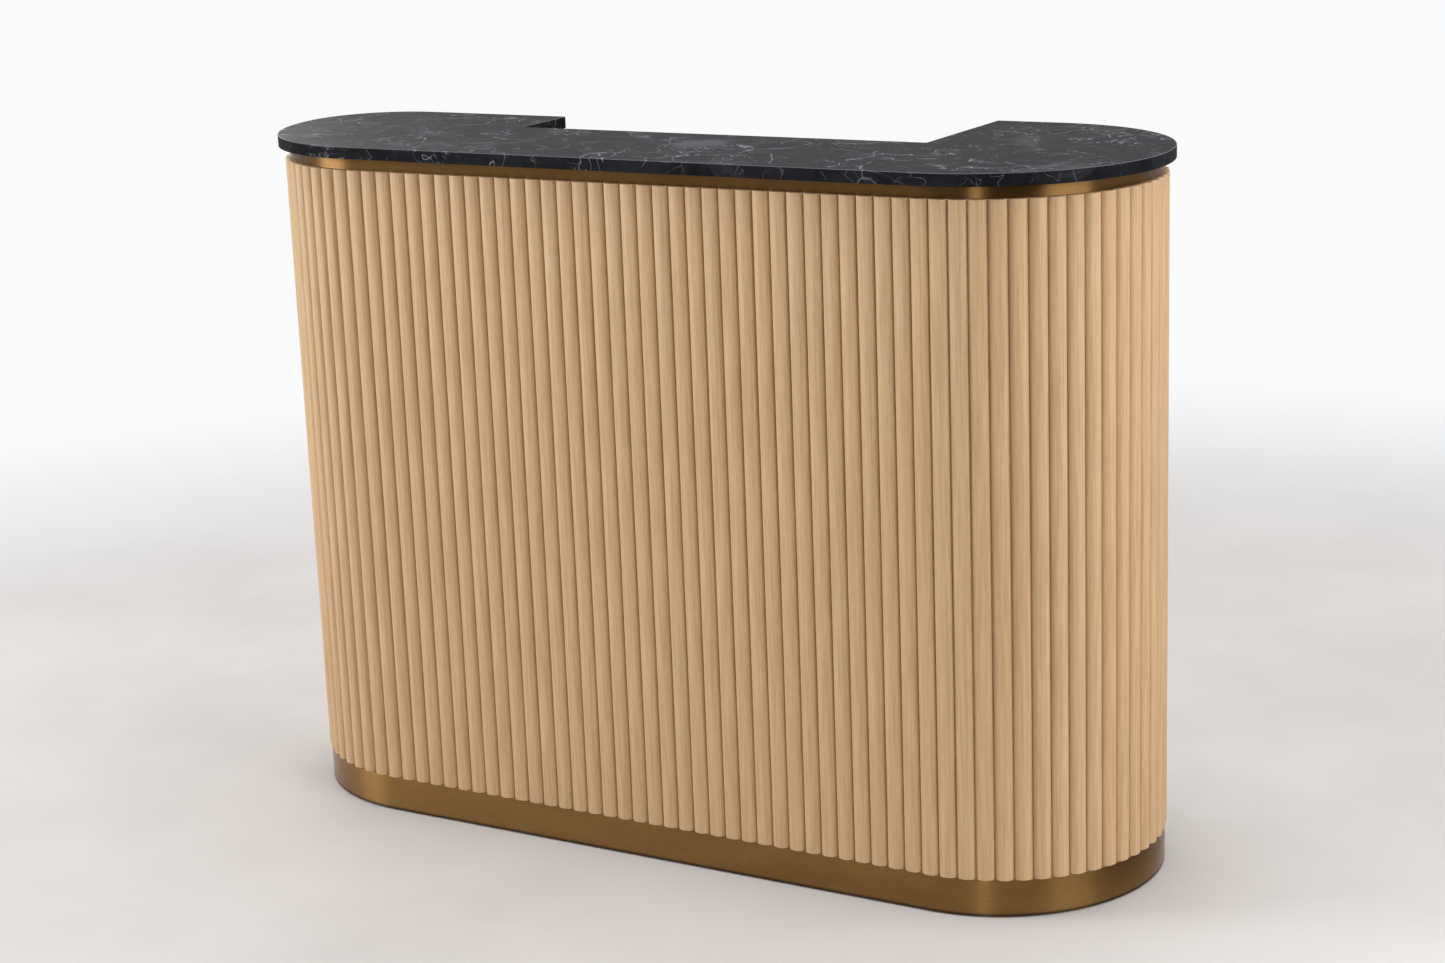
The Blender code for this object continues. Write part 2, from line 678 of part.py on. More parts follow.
def build_hinge(level, z):
    """A butt hinge: the fixed leaf with its pin, and the door's leaf with the middle knuckle."""
    leaf_y = (HINGE_AXIS_Y - 0.0195, HINGE_AXIS_Y - 0.003)
    knuckle = HINGE_HEIGHT / 3
    ends = [z - knuckle, z + knuckle]
    fixed_x = (OPENING_RIGHT - GAP - HINGE_LEAF, OPENING_RIGHT - GAP)
    door_x = (HINGE_AXIS_X - HINGE_LEAF / 2, HINGE_AXIS_X + HINGE_LEAF / 2)
    height = (z - HINGE_HEIGHT / 2, z + HINGE_HEIGHT / 2)
    axis = (HINGE_AXIS_X, HINGE_AXIS_Y)

    fixed = board(f"hinge_leaf_{level}", fixed_x, leaf_y, height, BRONZE)
    for i, middle in enumerate(ends):
        span = knuckle / 2 - GAP
        tab_y = (leaf_y[1] - 0.001, HINGE_AXIS_Y)
        join_block(fixed, f"leaf_tab_{level}_{i}", fixed_x, tab_y, (middle - span, middle + span))
        join_cylinder(
            fixed, f"leaf_knuckle_{level}_{i}", (*axis, middle), HINGE_KNUCKLE, 2 * span, (0, 0, 1)
        )
    pin_length = HINGE_HEIGHT + 0.004
    join_cylinder(fixed, f"pin_{level}", (*axis, z), HINGE_PIN_RADIUS, pin_length, (0, 0, 1), 10)

    moving = board(f"hinge_wing_{level}", door_x, leaf_y, height, BRONZE)
    span = knuckle / 2 - GAP
    tab_y = (leaf_y[1] - 0.001, HINGE_AXIS_Y)
    join_block(moving, f"wing_tab_{level}", door_x, tab_y, (z - span, z + span))
    join_cylinder(moving, f"wing_knuckle_{level}", (*axis, z), HINGE_KNUCKLE, 2 * span, (0, 0, 1))
    bore = HINGE_PIN_RADIUS + GAP
    cut_cylinder(moving, f"wing_bore_{level}", (*axis, z), bore, knuckle + 0.01, (0, 0, 1), 10)
    return moving


def build_cupboard():
    width = (REVEAL / 2, HINGE_AXIS_X - DOOR_TO_AXIS)
    height = (FRONTS_BOTTOM, FRONTS_TOP)
    door = board("door_panel", width, (FRONT_BACK_Y, FRONT_FACE_Y), height, OAK_BOARD, 0.0008)
    pull_z = FRONTS_TOP - DOOR_PULL_BELOW_TOP
    pull = bar_pull("door_pull", (DOOR_PULL_X, FRONT_FACE_Y, pull_z), (0, 0, 1), BRONZE)
    wings = [
        build_hinge("lower", FRONTS_BOTTOM + HINGE_FROM_END),
        build_hinge("upper", FRONTS_TOP - HINGE_FROM_END),
    ]
    hinge_line = pivot("door_hinge_line", (HINGE_AXIS_X, HINGE_AXIS_Y, pull_z))
    carry(hinge_line, door, pull, *wings)

    inner = (BOARD / 2 + GAP, OPENING_RIGHT - GAP)
    shelf_y = (-INNER_Y, FRONT_BACK_Y - 0.004)
    board("shelf", inner, shelf_y, (SHELF_TOP - BOARD, SHELF_TOP), OAK_BOARD)
    pin_z = SHELF_TOP - BOARD - GAP - PIN_RADIUS
    for side, x in (("left", inner[0] + PIN_LENGTH / 2), ("right", inner[1] - PIN_LENGTH / 2)):
        for depth, y in PIN_YS.items():
            place = (x, y, pin_z)
            cylinder(f"shelf_pin_{depth}_{side}", place, PIN_RADIUS, PIN_LENGTH, (1, 0, 0), STEEL, 10)


for leftover in list(bpy.data.objects):
    bpy.data.objects.remove(leftover)

PARTS = new_collection("checkout_counter")
CUTTERS = new_collection("cutters")

STONE = material("black_stone", (0.022, 0.024, 0.028), 0.35)
OAK = material("oak_slats", (0.56, 0.38, 0.21), 0.55)
OAK_BOARD = material("oak_board", (0.56, 0.39, 0.23), 0.5)
LAMINATE = material("black_laminate", (0.025, 0.025, 0.027), 0.45)
BIRCH = material("birch_box", (0.66, 0.52, 0.36), 0.5)
BRONZE = material("brushed_bronze", (0.26, 0.15, 0.06), 0.35, 1.0)
STEEL = material("runner_steel", (0.55, 0.56, 0.58), 0.35, 1.0)
RUBBER = material("foot_rubber", (0.03, 0.03, 0.03), 0.7)

build_top()
build_shell()
build_carcass()
build_base()
build_worktop()
build_drawers()
build_cupboard()
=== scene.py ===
import math
import random

import bpy
from mathutils import Matrix, Vector


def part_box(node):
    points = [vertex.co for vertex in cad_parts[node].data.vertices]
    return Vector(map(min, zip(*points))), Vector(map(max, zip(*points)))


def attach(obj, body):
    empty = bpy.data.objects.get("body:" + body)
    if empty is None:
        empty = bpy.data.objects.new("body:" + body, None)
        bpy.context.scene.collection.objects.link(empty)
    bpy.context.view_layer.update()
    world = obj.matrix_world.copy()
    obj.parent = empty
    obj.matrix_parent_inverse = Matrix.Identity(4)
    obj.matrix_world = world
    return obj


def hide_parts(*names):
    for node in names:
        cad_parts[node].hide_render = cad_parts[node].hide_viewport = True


# Looks of the checkout counter: fine meshes for the stone top, the metal bands, the slats and the
# pulls, and a node material for every piece. Units are metres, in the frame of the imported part.

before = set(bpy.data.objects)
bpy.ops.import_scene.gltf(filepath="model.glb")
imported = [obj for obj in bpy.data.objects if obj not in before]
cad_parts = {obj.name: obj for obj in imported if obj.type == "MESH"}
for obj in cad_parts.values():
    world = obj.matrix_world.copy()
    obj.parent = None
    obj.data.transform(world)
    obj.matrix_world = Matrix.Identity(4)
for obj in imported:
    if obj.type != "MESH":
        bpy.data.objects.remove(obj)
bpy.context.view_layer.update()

# ---------------------------------------------------------------- sizes, read from the frame

SLAB_LOW, SLAB_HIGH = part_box("top_slab")
BAND_LOW, BAND_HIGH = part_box("upper_band")
SKIN_LOW, SKIN_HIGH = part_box("plinth_skin")
FRONT_LOW, FRONT_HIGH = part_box("front_slats")
LEFT_LOW, LEFT_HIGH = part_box("left_slats")

SLAB_RADIUS = SLAB_HIGH.y
HALF_STRAIGHT = SLAB_HIGH.x - SLAB_RADIUS
GROOVE_RADIUS = BAND_HIGH.y
SLAT_RISE = -FRONT_LOW.y - GROOVE_RADIUS
LEFT_BACK_RADIUS = LEFT_HIGH.y - SLAT_RISE
LEFT_BACK_CENTRE_X = LEFT_BACK_RADIUS - GROOVE_RADIUS - HALF_STRAIGHT
OPENING_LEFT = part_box("left_gable")[1].x
OPENING_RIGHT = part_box("right_gable")[0].x
SLAB_OFFSET = SLAB_RADIUS - GROOVE_RADIUS
SKIN_OFFSET = SKIN_HIGH.y - GROOVE_RADIUS

RIGHT_RUN = 2 * HALF_STRAIGHT + math.pi * GROOVE_RADIUS - OPENING_RIGHT
LEFT_RUN = (
    HALF_STRAIGHT
    + math.pi / 2 * (GROOVE_RADIUS + LEFT_BACK_RADIUS)
    - LEFT_BACK_CENTRE_X
    + OPENING_LEFT
)
FRONT_SLATS = 32
PANEL_GAP = 0.0003  # between two slat panels
FRONT_START = FRONT_LOW.x - PANEL_GAP / 2
FRONT_END = FRONT_HIGH.x + PANEL_GAP / 2
PITCH = (FRONT_END - FRONT_START) / FRONT_SLATS
LEFT_SLATS = round((FRONT_START + LEFT_RUN) / PITCH)
RIGHT_SLATS = round((RIGHT_RUN - FRONT_END) / PITCH)

# Details finer than the frame
TURN_STEP = math.radians(1.5)  # of the wall's bends
SHARP_ANGLE = math.radians(40)  # edges sharper than this stay crisp
NOTCH_OVERHANG = 0.010  # of the slab past the gables
STRIP_BACK = 0.010  # back edge of the slab between the wings
NOTCH_ROUNDING = 0.003
NOTCH_STEPS = 6  # in each of the notch's rounded corners
ARRIS = 0.0014  # radius of the slab's upper edge
UNDERSIDE_ARRIS = 0.0007
ARRIS_STEPS = 4
SHEET = 0.0012  # thickness of the metal strips
SHEET_EDGE = 0.0002
SLAT_SPACING = 0.0009  # open joint between two slats
SLAT_STEPS = 16  # across one slat
SLAT_END_ROUNDING = 0.0007
ROUNDING_MIDDLE = 0.3  # of the rounding, in from both faces: about 1 - cos 45
BACKING = 0.002  # sheet that the slats stand on
BACKING_SETBACK = 0.0003  # of its face, behind the groove line
BACKING_SEED = 0.5
PULL_CORNER = 0.011
PULL_STEPS = 10
PALE_SPOT = (0.045, -0.085, 0.0)  # of the stone top
PALE_SPOT_RADIUS = 0.045
PALE_VEIN = (0.42, 0.43, 0.46)

# Rounded edges of the CAD nodes: their widths, then how they are made
BOARD_EDGE = 0.0008
WORKTOP_EDGE = 0.001
BOX_EDGE = 0.0006
PLINTH_EDGE = 0.0005
RUNNER_EDGE = 0.0002
EDGE_SEGMENTS = 3
EDGE_ANGLE = math.radians(50)  # edges sharper than this are rounded
WELD_DISTANCE = 0.00002


# ---------------------------------------------------------------- plan of the wall


def wall_point(distance, offset):
    """Plan point at offset outside the groove line, at distance along it from mid front, +X first."""
    reach = GROOVE_RADIUS + offset
    side = math.copysign(1.0, distance)
    past = abs(distance) - HALF_STRAIGHT
    if past <= 0:
        return distance, -reach
    angle = past / GROOVE_RADIUS
    if angle <= (math.pi if side > 0 else math.pi / 2):
        return side * (HALF_STRAIGHT + reach * math.sin(angle)), -reach * math.cos(angle)
    if side > 0:
        return HALF_STRAIGHT - (past - math.pi * GROOVE_RADIUS), reach
    back_reach = LEFT_BACK_RADIUS + offset
    past -= math.pi / 2 * GROOVE_RADIUS
    angle = past / LEFT_BACK_RADIUS
    if angle <= math.pi / 2:
        return LEFT_BACK_CENTRE_X - back_reach * math.cos(angle), back_reach * math.sin(angle)
    return LEFT_BACK_CENTRE_X + past - math.pi / 2 * LEFT_BACK_RADIUS, back_reach


def bend_stops(start, radius, turn):
    """Distances of the ends of the short facets along a bend that begins at start."""
    facets = round(turn / TURN_STEP)
    return [start + TURN_STEP * radius * i for i in range(facets + 1)]


def wall_stops(start, end):
    right = bend_stops(HALF_STRAIGHT, GROOVE_RADIUS, math.pi)
    left = bend_stops(HALF_STRAIGHT, GROOVE_RADIUS, math.pi / 2)
    left += bend_stops(left[-1], LEFT_BACK_RADIUS, math.pi / 2)[1:]
    turns = [-stop for stop in reversed(left)] + right
    return [start, *(stop for stop in turns if start < stop < end), end]


def arc(centre, radius, start, end, steps):
    """Points of an arc from start to end, in degrees."""
    angles = [math.radians(start + (end - start) * i / steps) for i in range(steps + 1)]
    return [(centre[0] + radius * math.cos(a), centre[1] + radius * math.sin(a)) for a in angles]


def slab_outline():
    """The slab's closed outline, anticlockwise from above."""
    left, right = OPENING_LEFT + NOTCH_OVERHANG, OPENING_RIGHT - NOTCH_OVERHANG
    beyond = NOTCH_OVERHANG - NOTCH_ROUNDING
    left_edge = LEFT_BACK_RADIUS + SLAB_OFFSET
    rounding = NOTCH_ROUNDING
    stops = wall_stops(-LEFT_RUN - beyond, RIGHT_RUN + beyond)
    outline = [wall_point(stop, SLAB_OFFSET) for stop in stops[1:-1]]
    outline += arc((right + rounding, SLAB_RADIUS - rounding), rounding, 90, 180, NOTCH_STEPS)
    outline += arc((right - rounding, STRIP_BACK + rounding), rounding, 0, -90, NOTCH_STEPS)
    outline += arc((left + rounding, STRIP_BACK + rounding), rounding, 270, 180, NOTCH_STEPS)
    outline += arc((left - rounding, left_edge - rounding), rounding, 0, 90, NOTCH_STEPS)
    return outline


def inset(outline, amount):
    """The closed outline moved inwards by a small amount."""
    moved = []
    for before, point, after in zip(outline[-1:] + outline[:-1], outline, outline[1:] + outline[:1]):
        along = (Vector(after) - Vector(before)).normalized()
        moved.append((point[0] - along.y * amount, point[1] + along.x * amount))
    return moved


# ---------------------------------------------------------------- meshes


def new_piece(name, points, faces, look, node):
    """A smooth-shaded piece that rides on the counter and stands for a CAD node."""
    mesh = bpy.data.meshes.new(name)
    mesh.from_pydata(points, [], faces)
    mesh.shade_smooth()
    mesh.set_sharp_from_angle(angle=SHARP_ANGLE)
    obj = bpy.data.objects.new(name, mesh)
    bpy.context.scene.collection.objects.link(obj)
    obj.data.materials.append(look)
    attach(obj, "counter")
    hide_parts(node)
    return obj


def tube_faces(rings, count, first=0):
    """Quads between successive closed rings of count points, and a cap at each end."""
    faces = [tuple(reversed(range(first, first + count)))]
    for ring in range(rings - 1):
        low = first + ring * count
        for i in range(count):
            j = (i + 1) % count
            faces.append((low + i, low + j, low + count + j, low + count + i))
    top = first + (rings - 1) * count
    faces.append(tuple(range(top, top + count)))
    return faces


def keep_faces_flat(obj):
    """Lets the large faces set the shading, so that small bevels look rounded and flats look flat."""
    weighted = obj.modifiers.new("Flat faces", "WEIGHTED_NORMAL")
    weighted.keep_sharp = True


def point_values(obj, name, values):
    attribute = obj.data.attributes.new(name, "FLOAT", "POINT")
    attribute.data.foreach_set("value", values)


def quarter_round(radius):
    """(inset, rise) pairs of a rounded edge, from the side face up to the top face."""
    turns = [math.pi / 2 * i / ARRIS_STEPS for i in range(ARRIS_STEPS + 1)]
    return [(radius * (1 - math.cos(t)), radius * math.sin(t)) for t in turns]


def build_slab(look):
    outline = slab_outline()
    low, high = SLAB_LOW.z, SLAB_HIGH.z
    levels = [(i, low + UNDERSIDE_ARRIS - r) for i, r in reversed(quarter_round(UNDERSIDE_ARRIS))]
    levels += [(i, high - ARRIS + r) for i, r in quarter_round(ARRIS)]
    points = [(x, y, z) for amount, z in levels for x, y in inset(outline, amount)]
    faces = tube_faces(len(levels), len(outline))
    slab = new_piece("stone_top", points, faces, look, "top_slab")
    keep_faces_flat(slab)


def build_skin(name, node, offset, low, high, look):
    """A bent metal strip along the wall, with its distance along the wall kept for the brushing."""
    stops = wall_stops(-LEFT_RUN, RIGHT_RUN)
    section = [
        (-SHEET, low),
        (-SHEET_EDGE, low),
        (0, low + SHEET_EDGE),
        (0, high - SHEET_EDGE),
        (-SHEET_EDGE, high),
        (-SHEET, high),
    ]
    points = [(*wall_point(stop, offset + depth), z) for stop in stops for depth, z in section]
    faces = tube_faces(len(stops), len(section))
    skin = new_piece(name, points, faces, look, node)
    point_values(skin, "run", [stop for stop in stops for _ in section])
    keep_faces_flat(skin)


def slat_ring(middle, shrink):
    """Plan points round one half-round slat, its round side first; shrink pulls them in."""
    half = (PITCH - SLAT_SPACING) / 2 - shrink
    ring = [wall_point(middle - half, -BACKING / 2)]
    for i in range(SLAT_STEPS + 1):
        turn = math.pi * i / SLAT_STEPS
        rise = (SLAT_RISE - shrink) * math.sin(turn)
        ring.append(wall_point(middle - half * math.cos(turn), rise))
    ring.append(wall_point(middle + half, -BACKING / 2))
    return ring


def build_slats(name, start, count, dice, look):
    """Half-round slats side by side on their backing, each with its own seed for its grain."""
    low, high = FRONT_LOW.z, FRONT_HIGH.z
    soft = SLAT_END_ROUNDING
    partway = soft * ROUNDING_MIDDLE
    levels = [(soft, low), (partway, low + partway), (0, low + soft)]
    levels += [(shrink, low + high - z) for shrink, z in reversed(levels)]
    points, faces, seeds = [], [], []
    for slat in range(count):
        middle = start + (slat + 0.5) * PITCH
        rings = [[(x, y, z) for x, y in slat_ring(middle, shrink)] for shrink, z in levels]
        faces += tube_faces(len(rings), len(rings[0]), first=len(points))
        points += [point for ring in rings for point in ring]
        seeds += [dice.random()] * sum(map(len, rings))
    stops = wall_stops(start + PANEL_GAP / 2, start + count * PITCH - PANEL_GAP / 2)
    face = -BACKING_SETBACK
    section = [(-BACKING, low), (face, low), (face, high), (-BACKING, high)]
    faces += tube_faces(len(stops), len(section), first=len(points))
    points += [(*wall_point(stop, depth), z) for stop in stops for depth, z in section]
    seeds += [BACKING_SEED] * (len(stops) * len(section))
    panel = new_piece(f"{name}_fine", points, faces, look, name)
    point_values(panel, "slat_seed", seeds)


def build_pull(node, body, look):
    """A bar handle bent to meet the front at both ends."""
    low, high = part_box(node)
    radius = min(high.x - low.x, high.z - low.z) / 2
    middle = (low + high) / 2
    along = Vector((1, 0, 0)) if high.x - low.x > high.z - low.z else Vector((0, 0, 1))
    half = (high - low).dot(along) / 2 - radius
    grip = high.y - radius
    bend = arc((half - PULL_CORNER, grip - PULL_CORNER), PULL_CORNER, 0, 90, PULL_STEPS)
    line = [(half, low.y), *bend]
    line += [(-a, y) for a, y in reversed(line)]
    curve = bpy.data.curves.new(f"{node}_fine", "CURVE")
    curve.dimensions = "3D"
    curve.bevel_depth = radius
    curve.bevel_resolution = 7
    curve.use_fill_caps = True
    spline = curve.splines.new("POLY")
    spline.points.add(len(line) - 1)
    for point, (a, y) in zip(spline.points, line):
        place = Vector((middle.x, 0, middle.z)) + along * a
        point.co = (place.x, y, place.z, 1)
    spline.use_smooth = True
    pull = bpy.data.objects.new(f"{node}_fine", curve)
    bpy.context.scene.collection.objects.link(pull)
    curve.materials.append(look)
    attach(pull, body)
    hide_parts(node)


def dress(node, look, edge=0.0):
    """Gives a CAD node its material and, where edge is given, rounded edges."""
    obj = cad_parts[node]
    obj.data.materials.clear()
    obj.data.materials.append(look)
    weld = obj.modifiers.new("Weld", "WELD")
    weld.merge_threshold = WELD_DISTANCE
    if edge:
        bevel = obj.modifiers.new("Rounded edges", "BEVEL")
        bevel.width = edge
        bevel.segments = EDGE_SEGMENTS
        bevel.limit_method = "ANGLE"
        bevel.angle_limit = EDGE_ANGLE
        keep_faces_flat(obj)


# ---------------------------------------------------------------- materials


class Look:
    """A material with short calls for the nodes that it is made of."""

    def __init__(self, name):
        self.material = bpy.data.materials.new(name)
        self.material.use_nodes = True
        self.tree = self.material.node_tree
        self.shader = self.tree.nodes["Principled BSDF"]

    def add(self, kind, inputs=None, **settings):
        node = self.tree.nodes.new(kind)
        for key, value in settings.items():
            setattr(node, key, value)
        for key, value in (inputs or {}).items():
            self.feed(node.inputs[key], value)
        return node

    def feed(self, target, value):
        if isinstance(value, bpy.types.NodeSocket):
            self.tree.links.new(value, target)
        elif target.type == "RGBA" and len(value) == 3:
            target.default_value = (*value, 1.0)
        else:
            target.default_value = value

    def place(self):
        """Position on the object, in metres at rest."""
        return self.add("ShaderNodeTexCoord").outputs["Object"]

    def attribute(self, name):
        return self.add("ShaderNodeAttribute", attribute_name=name).outputs["Fac"]

    def stretch(self, vector, scale):
        inputs = {0: vector, 1: scale}
        return self.add("ShaderNodeVectorMath", inputs, operation="MULTIPLY").outputs[0]

    def shift(self, vector, amount):
        inputs = {0: vector, 1: amount}
        return self.add("ShaderNodeVectorMath", inputs, operation="ADD").outputs[0]

    def calc(self, operation, first, second=0.0):
        inputs = {0: first, 1: second}
        return self.add("ShaderNodeMath", inputs, operation=operation).outputs[0]

    def noise(self, vector, scale, detail=3.0, roughness=0.5, distortion=0.0):
        inputs = {
            "Vector": vector,
            "Scale": scale,
            "Detail": detail,
            "Roughness": roughness,
            "Distortion": distortion,
        }
        return self.add("ShaderNodeTexNoise", inputs).outputs["Fac"]

    def fit(self, value, low, high, to_low=0.0, to_high=1.0):
        """value from low..high mapped smoothly to to_low..to_high, and held beyond."""
        inputs = {
            "Value": value,
            "From Min": low,
            "From Max": high,
            "To Min": to_low,
            "To Max": to_high,
        }
        node = self.add("ShaderNodeMapRange", inputs, interpolation_type="SMOOTHSTEP")
        return node.outputs["Result"]

    def mix(self, amount, first, second, blend="MIX"):
        node = self.add("ShaderNodeMix", {0: amount}, data_type="RGBA", blend_type=blend)
        self.feed(node.inputs[6], first)
        self.feed(node.inputs[7], second)
        return node.outputs[2]

    def vein(self, vector, scale, width):
        """Thin lines where a noise crosses its middle value: 1 on a line, 0 away from it."""
        field = self.noise(vector, scale, detail=4.0, roughness=0.55, distortion=0.6)
        away = self.calc("ABSOLUTE", self.calc("SUBTRACT", field, 0.5))
        return self.fit(away, 0.0, width, 1.0, 0.0)

    def cracks(self, vector, scale, width):
        """A net of thin lines between cells: 1 on a line, 0 away from it. width is in cells."""
        inputs = {"Vector": vector, "Scale": scale}
        cells = self.add("ShaderNodeTexVoronoi", inputs, feature="DISTANCE_TO_EDGE")
        return self.fit(cells.outputs["Distance"], 0.0, width, 1.0, 0.0)

    def patches(self, vector, scale, low, high):
        """Soft-edged patches for breaking up a pattern: 1 inside, 0 outside."""
        apart = self.shift(vector, (scale, 1.7, 0.4))
        return self.fit(self.noise(apart, scale, 3, 0.6), low, high)

    def bump(self, height, distance, strength):
        inputs = {"Height": height, "Distance": distance, "Strength": strength}
        self.feed(self.shader.inputs["Normal"], self.add("ShaderNodeBump", inputs).outputs[0])

    def finish(self, **values):
        """Sets the shader's inputs, whose names are written with _ for a space."""
        for key, value in values.items():
            self.feed(self.shader.inputs[key.replace("_", " ")], value)
        return self.material


SEED_SPREAD = 9.0  # metres between the grain of the first and the last seed
GRAIN_STRETCH = {"x": (0.03, 1, 1), "y": (1, 0.03, 1), "z": (1, 1, 0.03)}


def oak(name, grain="z", seeded=False, light=(0.610, 0.424, 0.247), dark=(0.512, 0.337, 0.183)):
    """Clear-finished oak: soft bands, fine dark pores along the grain and a slow change of tone."""
    look = Look(name)
    place = look.place()
    tone = look.noise(place, 1.3, 2)
    if seeded:
        seed = look.attribute("slat_seed")
        apart = look.calc("MULTIPLY", seed, SEED_SPREAD)
        offset = look.add("ShaderNodeCombineXYZ", {0: apart, 2: seed})
        place = look.shift(place, offset.outputs[0])
        tone = look.calc("ADD", look.calc("MULTIPLY", tone, 0.4), look.calc("MULTIPLY", seed, 0.6))
    along = look.stretch(place, GRAIN_STRETCH[grain])
    bands = look.noise(along, 240, 4, 0.6, 0.2)
    pores = look.noise(along, 1500, 2, 0.6)
    streaks = look.noise(along, 420, 4, 0.65, 0.2)
    colour = look.mix(look.fit(bands, 0.32, 0.70), light, dark)
    colour = look.mix(look.fit(streaks, 0.52, 0.75, 0.0, 0.25), colour, (0.44, 0.275, 0.145))
    colour = look.mix(look.fit(pores, 0.58, 0.72, 0.0, 0.35), colour, (0.36, 0.215, 0.11))
    warm = look.mix(tone, (1.0, 0.965, 0.93), (0.975, 0.99, 0.985))
    colour = look.mix(1.0, colour, warm, "MULTIPLY")
    height = look.calc("SUBTRACT", look.calc("MULTIPLY", streaks, 0.5), look.fit(pores, 0.55, 0.7))
    look.bump(height, 0.00012, 0.6)
    rough = look.fit(bands, 0.2, 0.8, 0.46, 0.60)
    return look.finish(Base_Color=colour, Roughness=rough, Specular_IOR_Level=0.35)


def wavy(look, place, scale, amount):
    """place pushed about by a noise, in metres."""
    inputs = {"Vector": place, "Scale": scale, "Detail": 3.0}
    push = look.add("ShaderNodeTexNoise", inputs).outputs["Color"]
    return look.shift(place, look.stretch(push, (amount, amount, amount)))


def black_stone():
    """Honed black stone: fine pale veins, a net of short wisps, one pale spot, a painted highlight on
    the arrises.
    """
    look = Look("black_stone_fine")
    place = look.place()
    bent = wavy(look, place, 5.0, 0.10)
    shaken = wavy(look, wavy(look, place, 7.0, 0.06), 40.0, 0.004)
    cloud = look.noise(bent, 9, 5, 0.6)
    body = look.mix(look.fit(cloud, 0.3, 0.7), (0.007, 0.0075, 0.009), (0.018, 0.019, 0.022))
    grit = look.noise(place, 900, 3, 0.7)
    body = look.mix(look.fit(grit, 0.55, 0.8, 0.0, 0.5), body, (0.042, 0.044, 0.049))

    facing = look.add("ShaderNodeNewGeometry").outputs["Normal"]
    upward = look.add("ShaderNodeSeparateXYZ", {0: facing}).outputs[2]
    shown = look.fit(upward, 0.3, 0.9, 0.5, 1.0)
    # lines, where they show, strength, colour
    veins = [
        (look.vein(bent, 7, 0.05), look.patches(place, 7, 0.48, 0.68), 0.24, (0.16, 0.165, 0.18)),
        (look.cracks(shaken, 10, 0.011), look.patches(place, 17, 0.49, 0.62), 0.50, PALE_VEIN),
        (look.cracks(shaken, 23, 0.020), look.patches(place, 31, 0.52, 0.62), 0.26, PALE_VEIN),
        (look.vein(shaken, 12, 0.007), look.patches(place, 13, 0.50, 0.62), 0.46, PALE_VEIN),
        (look.vein(bent, 5.5, 0.0030), look.patches(place, 5, 0.44, 0.56), 0.80, PALE_VEIN),
    ]
    for lines, where, strength, colour in veins:
        amount = look.calc("MULTIPLY", look.calc("MULTIPLY", lines, where), shown)
        body = look.mix(look.calc("MULTIPLY", amount, strength), body, colour)

    body = look.mix(pale_spot(look, place), body, (0.066, 0.071, 0.087))
    # painted highlight: a pale grey on the rounded edges where they turn up towards the top
    rising, level = look.fit(upward, 0.25, 0.6), look.fit(upward, 0.9, 0.99, 1.0, 0.0)
    arris_painted_highlight = look.calc("MULTIPLY", rising, level)
    body = look.mix(look.calc("MULTIPLY", arris_painted_highlight, 0.40), body, (0.30, 0.31, 0.33))
    look.bump(look.noise(place, 600, 4, 0.6), 0.00008, 0.5)
    rough = look.fit(cloud, 0.25, 0.75, 0.40, 0.50)
    return look.finish(Base_Color=body, Roughness=rough, Specular_IOR_Level=0.02)


def pale_spot(look, place):
    """Strength of the one round pale spot in the stone."""
    away = look.add("ShaderNodeVectorMath", {0: place, 1: PALE_SPOT}, operation="SUBTRACT").outputs[0]
    away = look.stretch(away, (1.0, 1.0, 0.0))
    distance = look.add("ShaderNodeVectorMath", {0: away}, operation="LENGTH").outputs["Value"]
    ragged = look.calc("ADD", distance, look.fit(look.noise(place, 60, 3), 0.3, 0.7, -0.008, 0.008))
    return look.fit(ragged, PALE_SPOT_RADIUS * 0.7, PALE_SPOT_RADIUS, 0.75, 0.0)


def brushed_bronze(name, run_attribute=None, shade=1.0):
    """Bronze-coloured metal, brushed level, with highlights drawn out upright. Its colour is
    multiplied by shade as painted shade, and it has a painted contact shadow at the floor.
    """
    look = Look(name)
    place = look.place()
    above_floor = look.add("ShaderNodeSeparateXYZ", {0: place}).outputs[2]
    if run_attribute:
        run = look.attribute(run_attribute)
        place = look.add("ShaderNodeCombineXYZ", {0: run, 2: above_floor}).outputs[0]
    brushing = look.noise(look.stretch(place, (0.02, 0.02, 1)), 2600, 3, 0.7)
    broad = look.noise(look.stretch(place, (0.3, 0.3, 1)), 24, 3, 0.5)
    colour = look.mix(look.fit(brushing, 0.3, 0.7), (0.225, 0.126, 0.043), (0.315, 0.185, 0.068))
    colour = look.mix(look.fit(broad, 0.35, 0.7, 0.0, 0.3), colour, (0.175, 0.096, 0.032))
    # painted shade: the colour multiplied by shade, so a strip of the same metal looks shaded
    colour = look.mix(1.0, colour, (shade, shade, shade), "MULTIPLY")
    # painted contact shadow: the colour turns near black from 8 mm down to 3 mm above the floor
    painted_floor_shadow = look.fit(above_floor, 0.003, 0.008, 0.85, 0.0)
    colour = look.mix(painted_floor_shadow, colour, (0.030, 0.022, 0.016))
    blotches = look.fit(broad, 0.3, 0.7, 0, 0.05)
    rough = look.calc("ADD", look.fit(brushing, 0.3, 0.7, 0.26, 0.36), blotches)
    look.bump(brushing, 0.00003, 0.35)
    upright = look.add("ShaderNodeCombineXYZ", {2: 1.0}).outputs[0]
    return look.finish(
        Base_Color=colour,
        Metallic=1.0,
        Roughness=rough,
        Anisotropic=0.9,
        Tangent=upright,
    )


def black_laminate():
    look = Look("black_laminate_fine")
    place = look.place()
    grain = look.noise(place, 1100, 3, 0.6)
    cloud = look.noise(place, 14, 3)
    colour = look.mix(look.fit(grain, 0.45, 0.75), (0.020, 0.020, 0.022), (0.034, 0.034, 0.036))
    look.bump(grain, 0.00010, 0.5)
    rough = look.fit(cloud, 0.3, 0.7, 0.42, 0.54)
    return look.finish(Base_Color=colour, Roughness=rough, Specular_IOR_Level=0.4)


